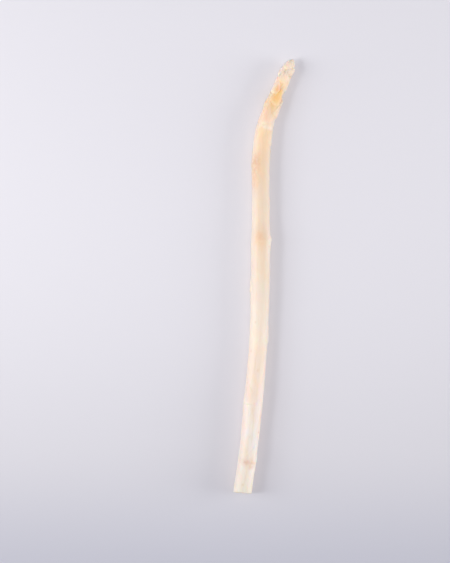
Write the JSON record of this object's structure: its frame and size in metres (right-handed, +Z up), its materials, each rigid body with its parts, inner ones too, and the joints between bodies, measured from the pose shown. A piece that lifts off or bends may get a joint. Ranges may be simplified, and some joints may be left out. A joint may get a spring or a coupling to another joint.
{
  "type": "white asparagus spear",
  "caption": "Long, slightly curved white asparagus spear lying down, with a cut butt, clasping scale leaves and a closed bud.",
  "frame": {"origin": "on the surface that the spear rests on, under the middle of its bounding box", "axes": "+Y along the spear from the cut butt to the bud, +Z up from the surface, +X to the side that the bud bends to"},
  "size_m": [0.034, 0.2466, 0.0116],
  "materials": {
    "skin": "waxy, faintly translucent ivory skin with fine lengthwise fibres, warmer and yellower under the bud, with pinkish scale leaves"
  },
  "bodies": {
    "root": {"spear": "skin"}
  },
  "joints": []
}
